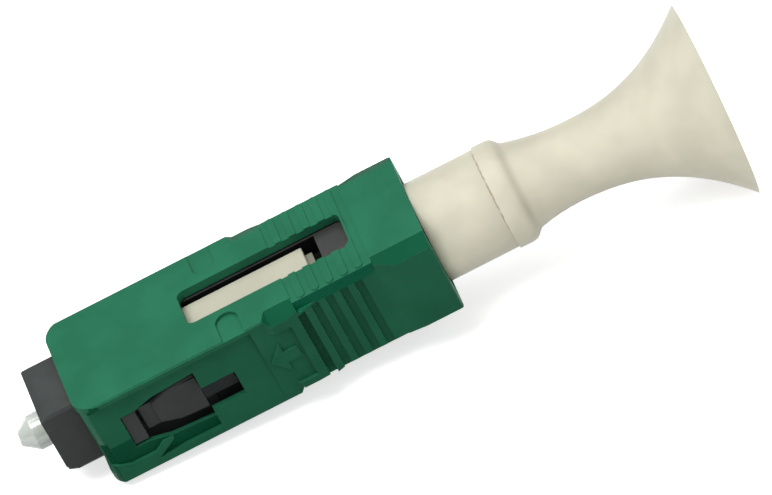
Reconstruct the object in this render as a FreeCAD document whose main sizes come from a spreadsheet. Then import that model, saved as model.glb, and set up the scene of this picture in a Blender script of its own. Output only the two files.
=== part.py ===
import FreeCAD, Part
import math
import os
import re

import Sketcher

# SC fibre connector, field-installable, angled-polish type.
# Origin: on the ferrule axis, in the plug frame's front face.
# +X runs from the plug nose to the cable boot, +Z out of the grip's window face.

doc = FreeCAD.newDocument("sc_fibre_connector")

SIZES = {
    # ferrule and stub fibre
    "ferrule_radius": 1.25, "ferrule_reach": 2.05, "ferrule_length": 10.5,
    "ferrule_cone_length": 1.1, "ferrule_tip_radius": 0.45, "polish_angle": 8,
    "ferrule_root_relief": 0.2,
    "fibre_radius": 0.0625, "fibre_length": 20.5, "fibre_gap": 0.0025, "bond_gap": 0.005,
    "flange_gap": 0.2, "flange_front": 5.7, "flange_length": 2.9, "flange_neck_radius": 1.6,
    "flange_neck_length": 1.2,
    # plug frame
    "frame_length": 10.8, "frame_half_width": 2.65,
    "frame_bore_radius": 2.15, "frame_bore_depth": 4.6, "frame_lip_hold": 0.1,
    "frame_lip_length": 1.0, "frame_side_wall": 0.5, "frame_top_wall": 0.5,
    "frame_lead_length": 1.0, "frame_lead_drop": 0.5, "frame_key_chamfer": 0.9,
    "frame_edge_chamfer": 0.18,
    "shoulder_gap": 0.06, "shoulder_neck": 5.95, "shoulder_start": 6.85, "shoulder_end": 10.12,
    "shoulder_front_half": 1.03, "shoulder_mid_half": 1.53, "shoulder_rear_half": 1.66,
    "shoulder_edge": 0.22, "shoulder_neck_drop": 0.12, "stem_drop": 0.1,
    "stem_end": 12.5, "stem_half": 0.75, "stem_shift": 0.15, "stop_length": 0.97, "stop_inset": 0.2, "stop_half": 1.29,
    "slit_length": 1.38, "slit_width": 0.1, "slit_depth": 0.4, "slit_height": 1.34,
    "frame_corner_lift": 1.4, "frame_corner_rise": 0.8, "frame_corner_length": 1.0,
    "frame_corner_inset": 0.7,
    # outer grip
    "grip_front": 2.38, "grip_length": 25.2, "grip_half_width": 4.5, "grip_half_height": 3.7,
    "grip_wall": 0.65, "grip_nose_radius": 1.5, "grip_notch": 15.75, "grip_notch_run": 0.35,
    "flare_half_width": 4.75, "flare_length": 2.58, "flare_edge_run": 1.1,
    "flare_top_drop": 0.6, "flare_bottom_drop": 0.78, "flare_corner_radius": 0.3,
    "waist_half_width": 4.08, "waist_start": 19.3, "waist_rear_inset": 3.98,
    "waist_shelf": 2.9, "waist_edge_run": 0.38, "waist_edge_drop": 0.35,
    "grip_edge_chamfer": 0.12,
    "channel_depth": 0.3, "channel_half": 3.25, "cavity_half_width": 3.72,
    "rear_cavity_half_width": 3.3,
    "window_start": 11.3, "window_end": 23.0, "window_half": 1.6, "window_corner": 0.5,
    "dimple_centre": 13.7, "dimple_radius": 0.8, "dimple_depth": 0.25, "dimple_inset": 2.9,
    "tread_start": 18.0, "tread_end": 23.75, "tread_depth": 0.1, "tread_pitch": 1.04,
    "tread_first": 18.5, "tread_width": 0.5, "tread_reach": 4.0, "tread_corner": 0.15,
    "rib_start": 17.93, "rib_pitch": 1.05, "rib_gap": 0.55, "rib_depth": 0.28, "rib_top": 2.7,
    "panel_start": 14.7, "panel_end": 17.27, "panel_top": 2.4, "panel_bottom": 2.4,
    "arrow_height": 0.16, "arrow_length": 2.0, "arrow_half": 1.3, "arrow_shaft_half": 0.45,
    "arrow_lift": 0.15,
    "side_start": 4.7, "side_full": 7.1, "side_end": 10.22, "side_front_half": 1.5,
    "side_mid_half": 1.95, "side_rear_half": 2.2, "slot_end": 12.6, "slot_half": 1.1,
    "slot_shift": 0.45,
    "ramp_depth": 0.3, "ramp_mouth": 1.56, "ramp_wide": 2.55, "ramp_neck": 6.4,
    "ramp_waist": 1.97, "ramp_ridge": 0.2, "ramp_rear": 3.15, "ramp_top": 0.5,
    "key_start": 4.5, "key_length": 9.5, "key_half": 0.9, "key_height": 0.75,
    # backbone
    "backbone_drop": 0.1, "backbone_inset": 1.58,
    "snout_length": 1.8, "snap_inset": 0.45, "snap_length": 0.9, "snap_half": 0.95,
    "snap_height": 0.4, "spring_bore_radius": 1.9, "spring_wall": 0.4,
    "tail_radius": 2.7, "tail_inset": 1.0,
    "cable_bore_radius": 1.7, "tail_collar_radius": 2.9, "tail_collar_length": 1.0,
    # splice body, element, cap and spring
    "splice_half_width": 1.6, "splice_bottom": 1.9, "splice_top": 1.45, "splice_tail_length": 0.65,
    "splice_bore_radius": 0.4, "splice_snout_radius": 1.05, "splice_snout_length": 1.35,
    "funnel_radius": 0.85, "funnel_length": 0.9,
    "trench_lead": 0.7, "trench_length": 10.0, "trench_half": 0.75, "trench_floor": 0.75,
    "element_length": 9.4, "element_top": 0.6, "element_split": 0.09, "element_split_floor": 0.4,
    "cap_inset": 0.25, "cap_length": 8.8, "cap_step_length": 0.5, "cap_step_drop": 0.42,
    "cap_step_half_width": 0.75, "cap_side_gap": 0.3,
    "cap_half_width": 1.2, "cap_top": 2.8, "cap_thickness": 0.5, "cap_rib_dip": 0.06,
    "cap_edge": 0.12, "cap_travel": 0.7,
    "spring_mean_radius": 1.58, "spring_wire_radius": 0.15, "spring_pitch": 0.72,
    # boot
    "sleeve_radius": 3.49, "sleeve_length": 4.88, "sleeve_edge": 0.15,
    "collar_rise": 0.13, "collar_length": 1.4, "collar_edge": 0.2,
    "neck_root_radius": 3.02, "neck_root_run": 0.6, "neck_radius": 2.58, "neck_run": 3.45,
    "flare_run": 10.1, "rim_radius": 6.8, "flare_power": 2.35,
    "rim_wall": 0.32, "spigot_length": 0.9,
    # running fits and travels
    "slide_gap": 0.05, "seat_gap": 0.04, "ferrule_travel": 0.5, "grip_travel": 1.2,
}

sheet = doc.addObject("Spreadsheet::Sheet", "sizes")
sheet.Label = "sizes"
for row, (alias, number) in enumerate(SIZES.items(), start=1):
    sheet.set("A%d" % row, alias)
    sheet.set("B%d" % row, str(number))
    sheet.setAlias("B%d" % row, alias)
doc.recompute()

WORD = re.compile(r"[a-z]+(?:_[a-z]+)*")
FUNCTIONS = {"tan", "cos", "sin", "min", "max", "deg"}


def bound(expression):
    """Return the expression with each size name pointed at the sheet."""
    return WORD.sub(
        lambda found: found.group(0) if found.group(0) in FUNCTIONS else "sizes." + found.group(0),
        str(expression),
    )


def value(expression):
    """Return the number that an expression of size names stands for."""
    return float(sheet.evalExpression(bound(expression)))


class Piece:
    """One moulded or machined piece: a body whose features follow the sheet."""

    def __init__(self, label):
        self.body = doc.addObject("PartDesign::Body", label)
        self.body.Label = label
        self.label = label

    def sketch(self, tag, plane, low, outlines):
        """Add a sketch of closed outlines on an origin plane, shifted to low along its normal."""
        sketch = self.body.newObject("Sketcher::SketchObject", "%s_%s_outline" % (self.label, tag))
        sketch.AttachmentSupport = [(doc.getObject(self.plane_name(plane)), "")]
        sketch.MapMode = "FlatFace"
        sketch.setExpression(".AttachmentOffset.Base.z", bound(low))
        for outline in outlines:
            if len(outline) == 2 and outline[0] == "circle":
                self.circle(sketch, *outline[1])
            else:
                self.polygon(sketch, outline)
        return sketch

    def plane_name(self, plane):
        """Return the internal name of the body's own origin plane."""
        for feature in self.body.Origin.OriginFeatures:
            if feature.Role == plane + "_Plane":
                return feature.Name
        raise ValueError(plane)

    def pin_point(self, sketch, index, end, across, up):
        """Tie one sketch point to the sketch origin by two named distances."""
        for kind, expression in (("DistanceX", across), ("DistanceY", up)):
            at = sketch.addConstraint(
                Sketcher.Constraint(kind, -1, 1, index, end, value(expression)))
            sketch.setExpression("Constraints[%d]" % at, bound(expression))

    def polygon(self, sketch, points):
        """Draw a closed polygon with every corner held by the sheet."""
        corners = [FreeCAD.Vector(value(a), value(b), 0) for a, b in points]
        first = sketch.GeometryCount
        count = len(corners)
        for i in range(count):
            sketch.addGeometry(Part.LineSegment(corners[i], corners[(i + 1) % count]), False)
        for i in range(count):
            sketch.addConstraint(Sketcher.Constraint(
                "Coincident", first + i, 2, first + (i + 1) % count, 1))
        for i, (across, up) in enumerate(points):
            self.pin_point(sketch, first + i, 1, across, up)

    def circle(self, sketch, across, up, radius):
        """Draw a circle whose centre and radius follow the sheet."""
        centre = FreeCAD.Vector(value(across), value(up), 0)
        index = sketch.addGeometry(
            Part.Circle(centre, FreeCAD.Vector(0, 0, 1), value(radius)), False)
        at = sketch.addConstraint(Sketcher.Constraint("Radius", index, value(radius)))
        sketch.setExpression("Constraints[%d]" % at, bound(radius))
        self.pin_point(sketch, index, 3, across, up)

    def reach(self, plane, low, high):
        """Turn a span along the world axis into offset and length along the plane's normal."""
        start = "-(%s)" % high if plane == "XZ" else low
        return start, "(%s) - (%s)" % (high, low)

    def pad(self, tag, plane, low, high, *outlines):
        """Add material between two stations of the axis normal to the plane."""
        start, length = self.reach(plane, low, high)
        feature = self.body.newObject("PartDesign::Pad", "%s_%s" % (self.label, tag))
        feature.Profile = self.sketch(tag, plane, start, outlines)
        feature.setExpression("Length", bound(length))
        doc.recompute()
        return feature

    def cut(self, tag, plane, low, high, *outlines):
        """Remove material between two stations of the axis normal to the plane."""
        start, length = self.reach(plane, low, high)
        before = self.body.Shape.Volume
        feature = self.body.newObject("PartDesign::Pocket", "%s_%s" % (self.label, tag))
        feature.Profile = self.sketch(tag, plane, start, outlines)
        feature.setExpression("Length", bound(length))
        feature.Reversed = True
        doc.recompute()
        if not self.body.Shape.Volume < before:
            raise RuntimeError("cut %s removed nothing from %s" % (tag, self.label))
        return feature

    def spin(self, tag, outline, remove=False):
        """Revolve a half section, given as (station, radius) pairs, about the X axis."""
        kind = "PartDesign::Groove" if remove else "PartDesign::Revolution"
        feature = self.body.newObject(kind, "%s_%s" % (self.label, tag))
        sketch = self.sketch(tag, "XZ", "0", [outline])
        feature.Profile = sketch
        feature.ReferenceAxis = (sketch, ["H_Axis"])
        feature.Angle = 360
        doc.recompute()
        return feature

    def dress(self, tag, kind, size, keep):
        """Fillet or chamfer the edges that the keep test accepts."""
        base = self.body.Tip
        names = ["Edge%d" % (i + 1) for i, edge in enumerate(base.Shape.Edges) if keep(edge)]
        if not names:
            raise RuntimeError("no edge found for %s on %s" % (tag, self.label))
        feature = self.body.newObject("PartDesign::" + kind, "%s_%s" % (self.label, tag))
        feature.Base = (base, names)
        feature.setExpression("Radius" if kind == "Fillet" else "Size", bound(size))
        doc.recompute()
        return feature


def box(across_low, across_high, up_low, up_high):
    """Return the corners of a rectangle given by its four sides."""
    return [(across_low, up_low), (across_high, up_low),
            (across_high, up_high), (across_low, up_high)]


def disc(radius, across="0", up="0"):
    """Return a circle outline."""
    return ("circle", (across, up, radius))


def flip(outline, across=1, up=1):
    """Return the outline mirrored about the sketch axes."""
    signs = {1: "%s", -1: "-(%s)"}
    return [(signs[across] % a, signs[up] % b) for a, b in outline]


def both(outline, up=1):
    """Return an outline and its mirror image about the vertical sketch axis."""
    return [outline, flip(outline, across=-1, up=up)]


def along(edge, axis):
    """Say whether a straight edge runs along the given axis."""
    if edge.Curve.TypeId != "Part::GeomLine":
        return False
    direction = edge.Curve.Direction
    return abs(abs(direction.dot(axis)) - 1) < 1e-6


AXIS_X, AXIS_Z = FreeCAD.Vector(1, 0, 0), FreeCAD.Vector(0, 0, 1)
PAST = "grip_wall"     # how far a cut runs past an outer face
GRIP_REAR = "grip_front + grip_length"
SLEEVE_FRONT = GRIP_REAR + " + seat_gap"
SLEEVE_REAR = SLEEVE_FRONT + " + sleeve_length"
CAVITY_HEIGHT = "grip_half_height - grip_wall"
CAVITY_STEP = "stem_end + grip_travel + slide_gap"
FRAME_HEIGHT = CAVITY_HEIGHT + " - slide_gap"
FLANGE_REAR = "flange_front + flange_length"
FLANGE_RADIUS = "frame_bore_radius - flange_gap"
BACKBONE_FRONT = "frame_length + slide_gap"
BACKBONE_REAR = GRIP_REAR + " - backbone_inset"
CAP_START = BACKBONE_FRONT + " + cap_inset"
CAP_END = CAP_START + " + cap_length"
CAP_STEP_END = CAP_END + " + cap_step_length"
SLOT_END = CAP_STEP_END + " + ferrule_travel + slide_gap"
SPLICE_FRONT = FLANGE_REAR + " + slide_gap"
SPLICE_REAR = SLOT_END + " + splice_tail_length"
TRENCH_START = CAP_START + " - trench_lead"
SPRING_END = BACKBONE_REAR + " - spring_wall"
TAIL_END = SLEEVE_REAR + " - tail_inset"
CAVITY_HALF = "(splice_half_width + slide_gap)"

# ---------------------------------------------------------------- outer grip
grip = Piece("outer_grip")
half_plan = [
    ("grip_front", "grip_half_width"),
    ("grip_notch", "grip_half_width"),
    ("grip_notch + grip_notch_run", "flare_half_width"),
    ("panel_end", "flare_half_width"),
    ("waist_start", "waist_half_width"),
    (GRIP_REAR + " - waist_rear_inset", "waist_half_width"),
    (GRIP_REAR + " - flare_length", "flare_half_width"),
    (GRIP_REAR, "flare_half_width"),
]
grip.pad("shell", "XY", "-grip_half_height", "grip_half_height",
         half_plan + [(x, "-" + y) for x, y in reversed(half_plan)])
grip.dress("nose", "Fillet", "grip_nose_radius",
           lambda edge: along(edge, AXIS_Z)
           and abs(edge.CenterOfMass.x - value("grip_front")) < 1e-3)
grip.dress("rear_corners", "Fillet", "flare_corner_radius",
           lambda edge: along(edge, AXIS_Z)
           and abs(edge.CenterOfMass.x - value(GRIP_REAR)) < 1e-3)


def corner(half_width, half_height, run, drop):
    """Return the wedge that slopes one long outer edge off by a run inwards and a drop."""
    return [
        ("%s - %s" % (half_width, run), "%s + %s" % (half_height, PAST)),
        ("%s - %s" % (half_width, run), half_height),
        (half_width, "%s - %s" % (half_height, drop)),
        ("%s + %s" % (half_width, PAST), "%s - %s" % (half_height, drop)),
        ("%s + %s" % (half_width, PAST), "%s + %s" % (half_height, PAST)),
    ]


front_cut = corner("grip_half_width", "grip_half_height", "grip_edge_chamfer", "grip_edge_chamfer")
grip.cut("front_edges", "YZ", "grip_front - " + PAST, "grip_notch + grip_notch_run",
         *both(front_cut))
flare_top = corner("flare_half_width", "grip_half_height", "flare_edge_run", "flare_top_drop")
flare_bottom = flip(corner("flare_half_width", "grip_half_height", "flare_edge_run",
                           "flare_bottom_drop"), up=-1)
for tag, low, high in (("front_flare", "grip_notch + grip_notch_run", "tread_start"),
                       ("rear_flare", "tread_end", GRIP_REAR + " + " + PAST)):
    grip.cut(tag, "YZ", low, high, *(both(flare_top) + both(flare_bottom)))
waist_bottom = flip(corner("waist_half_width", "grip_half_height", "waist_edge_run",
                           "waist_edge_drop"), up=-1)
waist_top = box("waist_half_width", "flare_half_width + " + PAST,
                "waist_shelf", "grip_half_height + " + PAST)
grip.cut("waist_edges", "YZ", "tread_start", "tread_end", *(both(waist_top) + both(waist_bottom)))

grip.pad("key", "XY", "-grip_half_height - key_height", "-grip_half_height + grip_wall / 2",
         box("key_start", "key_start + key_length", "-key_half", "key_half"))
grip.cut("front_cavity", "YZ", "grip_front - " + PAST, CAVITY_STEP,
         box("-cavity_half_width", "cavity_half_width",
             "-(%s)" % CAVITY_HEIGHT, CAVITY_HEIGHT))
grip.cut("rear_cavity", "YZ", CAVITY_STEP + " - " + PAST, GRIP_REAR + " + " + PAST,
         box("-rear_cavity_half_width", "rear_cavity_half_width",
             "-(%s)" % CAVITY_HEIGHT, CAVITY_HEIGHT))
grip.cut("window", "XY", CAVITY_HEIGHT + " - " + PAST, "grip_half_height + " + PAST,
         box("window_start", "window_end", "-window_half", "window_half"))
grip.dress("window_corners", "Fillet", "window_corner",
           lambda edge: along(edge, AXIS_Z)
           and abs(abs(edge.CenterOfMass.y) - value("window_half")) < 1e-3
           and edge.CenterOfMass.z > value(CAVITY_HEIGHT))

CHANNEL_FLOOR = "grip_half_width - channel_depth"
RAMP_TURN = "side_start - (side_start - grip_front) / 3"
front_ramp = [
    ("grip_front - " + PAST, "0"), ("grip_front - " + PAST, "-ramp_mouth"),
    (RAMP_TURN, "-ramp_wide"), ("side_start + stop_length", "-ramp_wide"),
    ("ramp_neck", "-ramp_waist"), ("side_full", "-side_mid_half"), ("side_full", "0"),
]
rear_ramp = [
    ("side_start + stop_length", "-ramp_rear"), ("side_full", "-ramp_waist - ramp_ridge"),
    ("side_full", "-side_mid_half"), ("side_end", "-side_mid_half"), ("side_end", "-ramp_rear"),
]
side_window = [
    ("side_start", "-side_front_half"), ("side_start + stop_length", "-side_front_half"),
    ("side_full", "-side_mid_half"),
    ("side_end", "-side_rear_half"), ("side_end", "-slot_half - slot_shift"),
    ("slot_end", "-slot_half - slot_shift"), ("slot_end", "slot_half - slot_shift"),
    ("side_end", "slot_half - slot_shift"), ("side_end", "side_rear_half"),
    ("side_full", "side_mid_half"), ("side_start + stop_length", "side_front_half"),
    ("side_start", "side_front_half"),
]
rib_gaps = [
    box("rib_start + %d * rib_pitch" % i, "rib_start + %d * rib_pitch + rib_gap" % i,
        "-grip_half_height - " + PAST, "rib_top")
    for i in range(5)
]
ARROW_TIP = "panel_start + (panel_end - panel_start - arrow_length) / 2"
ARROW_NECK = "panel_start + (panel_end - panel_start) / 2"
half_arrow = [(ARROW_NECK, "arrow_half"), (ARROW_NECK, "arrow_shaft_half"),
              (ARROW_TIP + " + arrow_length", "arrow_shaft_half")]
arrow = ([(ARROW_TIP, "arrow_lift")]
         + [(x, "arrow_lift - %s" % z) for x, z in half_arrow]
         + [(x, "arrow_lift + %s" % z) for x, z in reversed(half_arrow)])
PANEL_FLOOR = "grip_half_width"
for side, name in ((-1, "left"), (1, "right")):
    def side_span(inner, outer):
        """Return the span from inner to outer half width on this side."""
        return (inner, outer) if side > 0 else ("-(%s)" % outer, "-(%s)" % inner)

    beyond = "flare_half_width + " + PAST
    grip.cut(name + "_channel", "XZ", *side_span(CHANNEL_FLOOR, beyond),
             box("grip_front - " + PAST, "panel_start",
                 "-grip_half_height - " + PAST, "channel_half"))
    grip.cut(name + "_front_ramp", "XZ",
             *side_span(CHANNEL_FLOOR + " - ramp_depth", beyond), front_ramp)
    grip.cut(name + "_rear_ramp", "XZ",
             *side_span(CHANNEL_FLOOR + " - ramp_depth", beyond), rear_ramp)
    grip.pad(name + "_ramp_slope", "YZ", "grip_front + grip_nose_radius / 2", "side_end", [
        (sign + "(%s)" % y, z) for sign in ("-" if side < 0 else "",)
        for y, z in ((CHANNEL_FLOOR, "ramp_top"), (CHANNEL_FLOOR, "-ramp_top"),
                     (CHANNEL_FLOOR + " - ramp_depth", "-ramp_rear"),
                     (CHANNEL_FLOOR + " - 1.5 * ramp_depth", "-ramp_rear"),
                     (CHANNEL_FLOOR + " - 1.5 * ramp_depth", "ramp_top"))])
    grip.cut(name + "_opening", "XZ", *side_span("cavity_half_width - " + PAST, beyond), side_window)
    grip.cut(name + "_ribs", "XZ", *side_span("waist_half_width - rib_depth", beyond), *rib_gaps)
    grip.cut(name + "_panel", "XZ", *side_span(PANEL_FLOOR, beyond),
             box("panel_start", "panel_end", "-panel_bottom", "panel_top"))
    grip.pad(name + "_arrow", "XZ",
             *side_span(PANEL_FLOOR + " - arrow_height", PANEL_FLOOR + " + arrow_height"), arrow)

# Top and bottom are let down a little behind the first step, round five raised treads.
TREAD_OUT = "waist_half_width + " + PAST
tread_field = [box("tread_start", "tread_end", "-(%s)" % TREAD_OUT, TREAD_OUT)]
for i in range(5):
    front = "tread_first + %d * tread_pitch" % i
    rear = front + " + tread_width"
    far_end = [(front, "tread_reach - tread_corner"), (front + " + tread_corner", "tread_reach"),
               (rear + " - tread_corner", "tread_reach"), (rear, "tread_reach - tread_corner")]
    tread_field.append(far_end + [(x, "-(%s)" % y) for x, y in reversed(far_end)])
TREAD_FLOOR = "grip_half_height - tread_depth"
grip.cut("top_treads", "XY", TREAD_FLOOR, "grip_half_height + " + PAST, *tread_field)
grip.cut("bottom_treads", "XY", "-grip_half_height - " + PAST, "-(%s)" % TREAD_FLOOR, *tread_field)
dimple_box = box("dimple_centre - dimple_radius", "dimple_centre + dimple_radius",
                 "dimple_inset", "grip_half_width + " + PAST)
DIMPLE_FLOOR = "grip_half_height - dimple_depth"
grip.cut("dimples", "XY", DIMPLE_FLOOR, "grip_half_height + " + PAST,
         dimple_box, flip(dimple_box, up=-1))
grip.cut("dimple_ends", "XY", DIMPLE_FLOOR, "grip_half_height + " + PAST,
         disc("dimple_radius", "dimple_centre", "dimple_inset"),
         disc("dimple_radius", "dimple_centre", "-dimple_inset"))

# ---------------------------------------------------------------- plug frame
frame = Piece("plug_frame")
frame.pad("hull", "XZ", "-frame_half_width", "frame_half_width", [
    ("0", "-(%s) + frame_lead_drop" % FRAME_HEIGHT),
    ("frame_lead_length", "-(%s)" % FRAME_HEIGHT), ("frame_length", "-(%s)" % FRAME_HEIGHT),
    ("frame_length", FRAME_HEIGHT), ("frame_lead_drop", FRAME_HEIGHT),
    ("0", "%s - frame_lead_drop / 2" % FRAME_HEIGHT)])
SHOULDER_ROOT = "frame_half_width - frame_side_wall / 2"
SHOULDER_REACH = "cavity_half_width - shoulder_gap"
SHOULDER_MID = "shoulder_start + (shoulder_end - shoulder_start) * 2 / 5"
half_shoulder = [
    ("shoulder_neck", "shoulder_front_half"), ("shoulder_start", "shoulder_front_half"),
    (SHOULDER_MID, "shoulder_mid_half"), ("shoulder_end", "shoulder_rear_half"),
]
shoulder = half_shoulder + [(x, "-" + z) for x, z in reversed(half_shoulder)]
STOP_FRONT = "side_start + seat_gap"


def on_side(left, inner, outer):
    """Return the span between two half widths, on the left or the right side."""
    return ("-(%s)" % outer, "-(%s)" % inner) if left else (inner, outer)


for name, left in (("left", True), ("right", False)):
    frame.pad(name + "_shoulder", "XZ", *on_side(left, SHOULDER_ROOT, SHOULDER_REACH), shoulder)
    frame.dress(name + "_shoulder_edges", "Fillet", "shoulder_edge",
                lambda edge: abs(edge.CenterOfMass.y
                                 + value(SHOULDER_REACH) * (1 if left else -1)) < 1e-3
                and value("shoulder_neck") + 1e-3 < edge.CenterOfMass.x
                and edge.CenterOfMass.x < value("shoulder_end") - 1e-3)
    frame.pad(name + "_stem", "XZ",
              *on_side(left, "frame_half_width", SHOULDER_REACH + " - stem_drop"),
              box("shoulder_end - stem_half", "stem_end",
                  "-stem_half - stem_shift", "stem_half - stem_shift"))
    frame.cut(name + "_neck", "XZ",
              *on_side(left, SHOULDER_REACH + " - shoulder_neck_drop",
                       SHOULDER_REACH + " + shoulder_gap"),
              box("shoulder_neck - shoulder_gap", "shoulder_start",
                  "-shoulder_front_half - shoulder_gap", "shoulder_front_half + shoulder_gap"))
    frame.pad(name + "_stop", "XZ",
              *on_side(left, SHOULDER_ROOT, CHANNEL_FLOOR + " - stop_inset"),
              box(STOP_FRONT, STOP_FRONT + " + stop_length", "-stop_half", "stop_half"))
    frame.cut(name + "_front_corner", "XZ",
              *on_side(left, "frame_half_width - frame_corner_inset", "frame_half_width + " + PAST), [
                  ("-" + PAST, "-(%s) + frame_corner_lift" % FRAME_HEIGHT),
                  ("0", "-(%s) + frame_corner_lift" % FRAME_HEIGHT),
                  ("frame_corner_length", "-(%s) + frame_corner_rise" % FRAME_HEIGHT),
                  ("frame_corner_length", "-(%s) - %s" % (FRAME_HEIGHT, PAST)),
                  ("-" + PAST, "-(%s) - %s" % (FRAME_HEIGHT, PAST))])
    frame.cut(name + "_slit", "XZ",
              *on_side(left, SHOULDER_REACH + " - slit_depth", SHOULDER_REACH + " + slit_depth"),
              [("shoulder_end - slit_length", "slit_height"),
               ("shoulder_end + slit_depth", "slit_height - slit_width"),
               ("shoulder_end + slit_depth", "slit_height + slit_width")])
edge_cut = [
    ("frame_half_width - frame_key_chamfer", "-(%s) - %s" % (FRAME_HEIGHT, PAST)),
    ("frame_half_width - frame_key_chamfer", "-(%s)" % FRAME_HEIGHT),
    ("frame_half_width", "-(%s) + frame_key_chamfer" % FRAME_HEIGHT),
    ("frame_half_width + " + PAST, "-(%s) + frame_key_chamfer" % FRAME_HEIGHT),
    ("frame_half_width + " + PAST, "-(%s) - %s" % (FRAME_HEIGHT, PAST)),
]
frame.cut("lower_edges", "YZ", "-" + PAST, "frame_bore_depth", *both(edge_cut))
frame.dress("upper_edges", "Chamfer", "frame_edge_chamfer",
            lambda edge: along(edge, AXIS_X)
            and abs(abs(edge.CenterOfMass.y) - value("frame_half_width")) < 1e-3
            and abs(edge.CenterOfMass.z - value(FRAME_HEIGHT)) < 1e-3)
frame.cut("front_bore", "YZ", "-" + PAST, "frame_bore_depth", disc("frame_bore_radius"))
frame.cut("lip_bore", "YZ", "frame_bore_depth - " + PAST, "frame_length + " + PAST,
          disc(FLANGE_RADIUS + " - frame_lip_hold"))
LIP_REAR = "frame_bore_depth + frame_lip_length"
SOCKET_HALF = "frame_half_width - frame_side_wall"
SOCKET_HEIGHT = FRAME_HEIGHT + " - frame_top_wall"
frame.cut("socket", "YZ", LIP_REAR, "frame_length + " + PAST,
          box("-(%s)" % SOCKET_HALF, SOCKET_HALF, "-(%s)" % SOCKET_HEIGHT, SOCKET_HEIGHT))
SNOUT_START = "frame_length - snout_length"
SNAP_START = SNOUT_START + " + snap_inset"
frame.cut("snap_windows", "XY", "-(%s) - %s" % (FRAME_HEIGHT, PAST), FRAME_HEIGHT + " + " + PAST,
          box(SNAP_START + " - slide_gap", SNAP_START + " + snap_length + slide_gap",
              "-snap_half - slide_gap", "snap_half + slide_gap"))

# ---------------------------------------------------------------- backbone
SNOUT_HALF = SOCKET_HALF + " - slide_gap"
SNOUT_HEIGHT = SOCKET_HEIGHT + " - slide_gap"
BACKBONE_HALF = "frame_half_width - slide_gap"
BACKBONE_HEIGHT = FRAME_HEIGHT + " - backbone_drop"
backbone = Piece("backbone")
backbone.pad("hull", "YZ", BACKBONE_FRONT, BACKBONE_REAR,
             box("-(%s)" % BACKBONE_HALF, BACKBONE_HALF,
                 "-(%s)" % BACKBONE_HEIGHT, BACKBONE_HEIGHT))
backbone.pad("snout", "YZ", SNOUT_START, BACKBONE_FRONT + " + slide_gap",
             box("-(%s)" % SNOUT_HALF, SNOUT_HALF, "-(%s)" % SNOUT_HEIGHT, SNOUT_HEIGHT))
backbone.pad("snaps", "XY", "-(%s) - snap_height" % SNOUT_HEIGHT, SNOUT_HEIGHT + " + snap_height",
             box(SNAP_START, SNAP_START + " + snap_length", "-snap_half", "snap_half"))
backbone.pad("tail_collar", "YZ", BACKBONE_REAR + " - slide_gap",
             BACKBONE_REAR + " + tail_collar_length", disc("tail_collar_radius"))
backbone.pad("tail", "YZ", BACKBONE_REAR, TAIL_END, disc("tail_radius"))
backbone.dress("long_edges", "Chamfer", "frame_edge_chamfer",
               lambda edge: along(edge, AXIS_X)
               and abs(abs(edge.CenterOfMass.y) - value(BACKBONE_HALF)) < 1e-3)
splice_room = box("-" + CAVITY_HALF, CAVITY_HALF,
                  "-(splice_bottom + slide_gap)", "splice_top + slide_gap")
backbone.cut("splice_room", "YZ", SNOUT_START + " - " + PAST,
             SPLICE_REAR + " + ferrule_travel + slide_gap", splice_room)
backbone.cut("spring_bore", "YZ", SLOT_END + " + slide_gap", SPRING_END,
             disc("spring_bore_radius"))
backbone.cut("cable_bore", "YZ", SPRING_END + " - " + PAST, TAIL_END + " + " + PAST,
             disc("cable_bore_radius"))
backbone.cut("cap_slot", "XY", "splice_top", BACKBONE_HEIGHT + " + " + PAST,
             box("%s - %s" % (BACKBONE_FRONT, PAST), SLOT_END,
                 "-(cap_half_width + cap_side_gap)", "cap_half_width + cap_side_gap"))

# ---------------------------------------------------------------- ferrule, flange and fibre
ferrule = Piece("ferrule")
ferrule.spin("blank", [
    ("-ferrule_reach", "fibre_radius + fibre_gap"), ("-ferrule_reach", "ferrule_tip_radius"),
    ("-ferrule_reach + ferrule_cone_length", "ferrule_radius"),
    ("flange_front - flange_gap", "ferrule_radius"),
    ("flange_front - flange_gap", "ferrule_radius - ferrule_root_relief"),
    ("ferrule_length - ferrule_reach", "ferrule_radius - ferrule_root_relief"),
    ("ferrule_length - ferrule_reach", "fibre_radius + fibre_gap")])
ferrule.cut("polish", "XZ", "-ferrule_radius", "ferrule_radius", [
    ("-ferrule_reach - ferrule_tip_radius", "-ferrule_tip_radius"),
    ("-ferrule_reach", "-ferrule_tip_radius"),
    ("-ferrule_reach + 2 * ferrule_tip_radius * tan(polish_angle * 1deg)", "ferrule_tip_radius"),
    ("-ferrule_reach + 2 * ferrule_tip_radius * tan(polish_angle * 1deg)", "ferrule_radius"),
    ("-ferrule_reach - ferrule_tip_radius", "ferrule_radius")])

flange = Piece("ferrule_flange")
FLANGE_BORE = "ferrule_radius - ferrule_root_relief + bond_gap"
flange.spin("ring", [
    ("flange_front", FLANGE_BORE), ("flange_front", FLANGE_RADIUS),
    (FLANGE_REAR + " - flange_neck_length", FLANGE_RADIUS),
    (FLANGE_REAR + " - flange_neck_length", "flange_neck_radius"),
    (FLANGE_REAR, "flange_neck_radius"), (FLANGE_REAR, FLANGE_BORE)])

fibre = Piece("stub_fibre")
FIBRE_FRONT = "-ferrule_reach + ferrule_tip_radius * tan(polish_angle * 1deg)"
fibre.pad("glass", "YZ", FIBRE_FRONT, FIBRE_FRONT + " + fibre_length", disc("fibre_radius"))

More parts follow.
